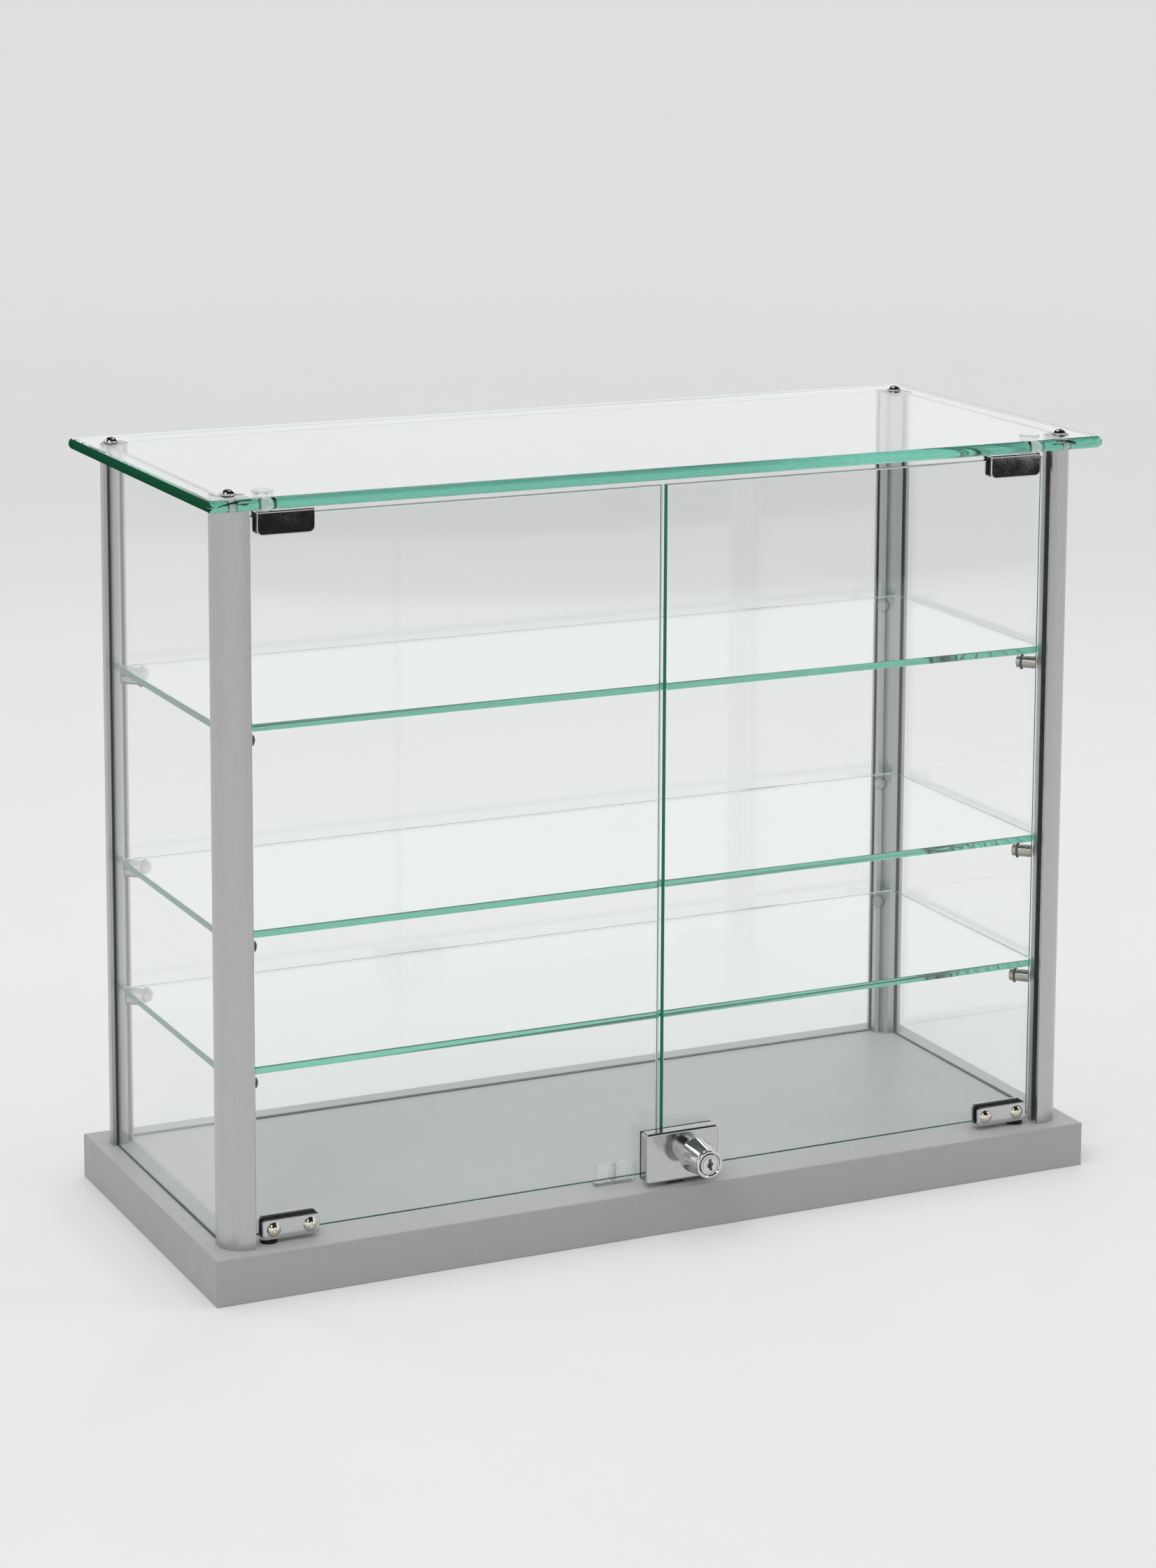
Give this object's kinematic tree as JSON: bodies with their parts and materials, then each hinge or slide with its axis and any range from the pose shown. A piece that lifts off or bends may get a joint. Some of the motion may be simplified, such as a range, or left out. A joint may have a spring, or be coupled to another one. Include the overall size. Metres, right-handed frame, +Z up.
{
  "type": "display_case",
  "caption": "Counter-top glass display case with aluminium posts, glass shelves on corner pins, pivot-hinged glass doors and a clamp lock",
  "frame": {"origin": "Middle of the underside of the base board, on which the case stands.", "axes": "+Z up, -Y the front with the doors, +X to the right as seen from the front."},
  "size_m": [0.804, 0.3778, 0.6488],
  "materials": {
    "base_laminate": "board faced in silver-grey laminate with a fine satin grain",
    "anodised_aluminium": "satin anodised silver",
    "steel_screws": "plain zinc steel",
    "clear_glass": "clear float glass with green polished edges",
    "seal_rubber": "soft dark sealing strip",
    "chrome": "polished chrome",
    "clear_plastic": "clear to milky plastic",
    "black_plastic": "matt black plastic",
    "ring_rubber": "black rubber ring",
    "plain_steel": "turned steel",
    "satin_plug": "satin nickel face",
    "dark_bolt": "dark bronze finish"
  },
  "bodies": {
    "case": {"base_board": "base_laminate", "base_edge_bands": "base_laminate", "post_front_left": "anodised_aluminium", "post_front_right": "anodised_aluminium", "post_back_right": "anodised_aluminium", "post_back_left": "anodised_aluminium", "post_screws": "steel_screws", "glass_side_left": "clear_glass", "seals_side_left": "seal_rubber", "glass_side_right": "clear_glass", "seals_side_right": "seal_rubber", "glass_back": "clear_glass", "seals_back": "seal_rubber", "glass_top": "clear_glass", "top_screws": "chrome", "top_screw_sleeves": "clear_plastic", "top_bushes": "clear_plastic", "base_bushes": "black_plastic", "door_stop": "clear_plastic", "door_stop_screw": "steel_screws"},
    "left_door": {"door_left": "clear_glass", "lower_hinge_left_plate": "chrome", "lower_hinge_left_bracket": "chrome", "lower_hinge_left_liner": "black_plastic", "lower_hinge_left_screws": "chrome", "lower_hinge_left_pin": "plain_steel", "upper_hinge_left_clip": "chrome", "upper_hinge_left_liner": "black_plastic", "upper_hinge_left_screws": "steel_screws", "upper_hinge_left_pin": "plain_steel"},
    "right_door": {"door_right": "clear_glass", "lower_hinge_right_plate": "chrome", "lower_hinge_right_bracket": "chrome", "lower_hinge_right_liner": "black_plastic", "lower_hinge_right_screws": "chrome", "lower_hinge_right_pin": "plain_steel", "upper_hinge_right_clip": "chrome", "upper_hinge_right_liner": "black_plastic", "upper_hinge_right_screws": "steel_screws", "upper_hinge_right_pin": "plain_steel", "lock_case": "chrome", "lock_lining": "black_plastic", "lock_clamp_screws": "steel_screws", "lock_collar": "chrome", "lock_knob": "chrome"},
    "key": {"key_plug": "satin_plug", "lock_cam": "plain_steel"},
    "bolt": {"lock_bolt": "dark_bolt"},
    "lower_shelf": {"shelf_lower": "clear_glass", "shelf_pins_lower": "chrome", "shelf_pin_rings_lower": "ring_rubber"},
    "middle_shelf": {"shelf_middle": "clear_glass", "shelf_pins_middle": "chrome", "shelf_pin_rings_middle": "ring_rubber"},
    "upper_shelf": {"shelf_upper": "clear_glass", "shelf_pins_upper": "chrome", "shelf_pin_rings_upper": "ring_rubber"}
  },
  "joints": [
    {"name": "right_door_swing", "type": "hinge", "parent": "case", "child": "right_door", "pos_m": [0.3465, -0.141, 0.3], "axis": [0, 0, 1], "range_deg": [0, 100]},
    {"name": "left_door_swing", "type": "hinge", "parent": "case", "child": "left_door", "pos_m": [-0.3465, -0.141, 0.3], "axis": [0, 0, 1], "range_deg": [-100, 0]},
    {"name": "key_turn", "type": "hinge", "parent": "right_door", "child": "key", "pos_m": [0.0179, -0.18, 0.0671], "axis": [0, -1, 0], "range_deg": [0, 90]},
    {"name": "bolt_slide", "type": "slide", "parent": "right_door", "child": "bolt", "axis": [0, 0, -1], "range_m": [0, 0.008]},
    {"name": "lower_shelf_height", "type": "slide", "parent": "case", "child": "lower_shelf", "axis": [0, 0, 1], "range_m": [-0.075, 0.04]},
    {"name": "middle_shelf_height", "type": "slide", "parent": "case", "child": "middle_shelf", "axis": [0, 0, 1], "range_m": [-0.04, 0.07]},
    {"name": "upper_shelf_height", "type": "slide", "parent": "case", "child": "upper_shelf", "axis": [0, 0, 1], "range_m": [-0.06, 0.14]}
  ],
  "couplings": [
    {"joint": "left_door_swing", "follows": "right_door_swing", "ratio": -1},
    {"joint": "key_turn", "follows": "bolt_slide", "rad_per_m": 196.35}
  ]
}
